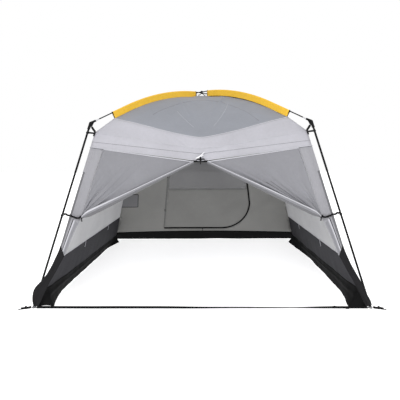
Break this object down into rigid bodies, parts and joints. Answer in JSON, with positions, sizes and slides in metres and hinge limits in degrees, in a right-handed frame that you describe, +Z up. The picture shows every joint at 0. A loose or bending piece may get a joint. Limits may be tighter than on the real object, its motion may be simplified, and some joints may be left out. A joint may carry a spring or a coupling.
{
  "type": "screen house shelter",
  "caption": "Walk-in camping shelter: crossed roof poles in sleeves over a hung cloth canopy, leaning steel legs, open front with tied-back curtains, closed sides and a zipped back door.",
  "frame": {"origin": "centre of the square footprint, on the ground", "axes": "+Z up, -Y out of the open front, +X to the right as seen from the front"},
  "size_m": [3.302, 3.162, 2.1598],
  "materials": {
    "pole_black": "pultruded fibreglass, smooth black",
    "ferrule_steel": "bright rolled steel ferrules and rings",
    "leg_black": "powder-coated black steel tube",
    "elbow_plastic": "black moulded plastic",
    "sleeve_yellow": "yellow woven polyester sleeve",
    "roof_grey": "coated blue-grey polyester",
    "pale_grey": "light grey polyester",
    "wall_grey": "light grey polyester taffeta",
    "mesh_grey": "fine no-see-um mesh",
    "band_grey": "dark grey coated polyester",
    "skirt_black": "black polyethylene-coated cloth",
    "webbing_black": "black woven webbing and cord",
    "trim_plastic": "black acetal fittings and zip"
  },
  "bodies": {
    "frame": {"roof_pole_a": "pole_black", "roof_pole_b": "pole_black", "pole_ferrules": "ferrule_steel", "peak_tie": "webbing_black", "elbow_fl": "elbow_plastic", "elbow_fr": "elbow_plastic", "elbow_br": "elbow_plastic", "elbow_bl": "elbow_plastic", "sleeve_a": "sleeve_yellow", "sleeve_b": "sleeve_yellow", "roof_front": "roof_grey", "roof_right": "roof_grey", "roof_back": "roof_grey", "roof_left": "roof_grey", "brow_front": "pale_grey", "brow_right": "pale_grey", "brow_back": "pale_grey", "brow_left": "pale_grey", "wall_right": "wall_grey", "wall_left": "wall_grey", "mesh_right": "mesh_grey", "mesh_left": "mesh_grey", "band_right": "band_grey", "band_left": "band_grey", "wall_back": "wall_grey", "back_band": "skirt_black", "door_toggles": "trim_plastic", "curtain_right": "mesh_grey", "curtain_left": "mesh_grey", "jamb_right": "pale_grey", "jamb_left": "pale_grey", "jamb_feet": "band_grey", "skirt_right": "skirt_black", "skirt_left": "skirt_black", "pocket": "mesh_grey", "leg_clips": "trim_plastic", "corner_straps": "webbing_black", "tiebacks": "webbing_black", "front_zip_slider": "trim_plastic", "corner_rings": "ferrule_steel", "ground_strap": "webbing_black", "stake_tabs": "webbing_black"},
    "upper_leg_fl": {"upper_leg_fl": "leg_black"},
    "lower_leg_fl": {"lower_leg_fl": "leg_black", "foot_cap_fl": "elbow_plastic"},
    "upper_leg_fr": {"upper_leg_fr": "leg_black"},
    "lower_leg_fr": {"lower_leg_fr": "leg_black", "foot_cap_fr": "elbow_plastic"},
    "upper_leg_br": {"upper_leg_br": "leg_black"},
    "lower_leg_br": {"lower_leg_br": "leg_black", "foot_cap_br": "elbow_plastic"},
    "upper_leg_bl": {"upper_leg_bl": "leg_black"},
    "lower_leg_bl": {"lower_leg_bl": "leg_black", "foot_cap_bl": "elbow_plastic"},
    "back_door": {"door_panel": "wall_grey", "door_window": "mesh_grey", "door_zip": "trim_plastic"},
    "zip_slider": {"zip_slider": "trim_plastic"},
    "front_zip_pull": {"front_zip_pull": "trim_plastic"},
    "strap_buckle": {"strap_buckle": "trim_plastic"}
  },
  "joints": [
    {"name": "leg_fl_out_of_elbow", "type": "slide", "parent": "frame", "child": "upper_leg_fl", "axis": [-0.2485, -0.2485, -0.9362], "range_m": [0, 0.06]},
    {"name": "leg_fl_halves", "type": "slide", "parent": "upper_leg_fl", "child": "lower_leg_fl", "axis": [-0.2485, -0.2485, -0.9362], "range_m": [0, 0.06]},
    {"name": "leg_fr_out_of_elbow", "type": "slide", "parent": "frame", "child": "upper_leg_fr", "axis": [0.2485, -0.2485, -0.9362], "range_m": [0, 0.06]},
    {"name": "leg_fr_halves", "type": "slide", "parent": "upper_leg_fr", "child": "lower_leg_fr", "axis": [0.2485, -0.2485, -0.9362], "range_m": [0, 0.06]},
    {"name": "leg_br_out_of_elbow", "type": "slide", "parent": "frame", "child": "upper_leg_br", "axis": [0.2485, 0.2485, -0.9362], "range_m": [0, 0.06]},
    {"name": "leg_br_halves", "type": "slide", "parent": "upper_leg_br", "child": "lower_leg_br", "axis": [0.2485, 0.2485, -0.9362], "range_m": [0, 0.06]},
    {"name": "leg_bl_out_of_elbow", "type": "slide", "parent": "frame", "child": "upper_leg_bl", "axis": [-0.2485, 0.2485, -0.9362], "range_m": [0, 0.06]},
    {"name": "leg_bl_halves", "type": "slide", "parent": "upper_leg_bl", "child": "lower_leg_bl", "axis": [-0.2485, 0.2485, -0.9362], "range_m": [0, 0.06]},
    {"name": "back_door_hinge", "type": "hinge", "parent": "frame", "child": "back_door", "pos_m": [-0.647, 1.41657, 0.20419], "axis": [0.1133, -0.2549, 0.9603], "range_deg": [0, 105]},
    {"name": "back_zip_slide", "type": "slide", "parent": "frame", "child": "zip_slider", "axis": [1, 0, 0], "range_m": [-0.6, 0.3]},
    {"name": "front_pull_swing", "type": "hinge", "parent": "frame", "child": "front_zip_pull", "pos_m": [0, -1.13103, 1.322], "axis": [1, 0, 0], "range_deg": [-75, 40]},
    {"name": "strap_buckle_slide", "type": "slide", "parent": "frame", "child": "strap_buckle", "axis": [-1, 0, 0], "range_m": [0, 0.3]}
  ]
}
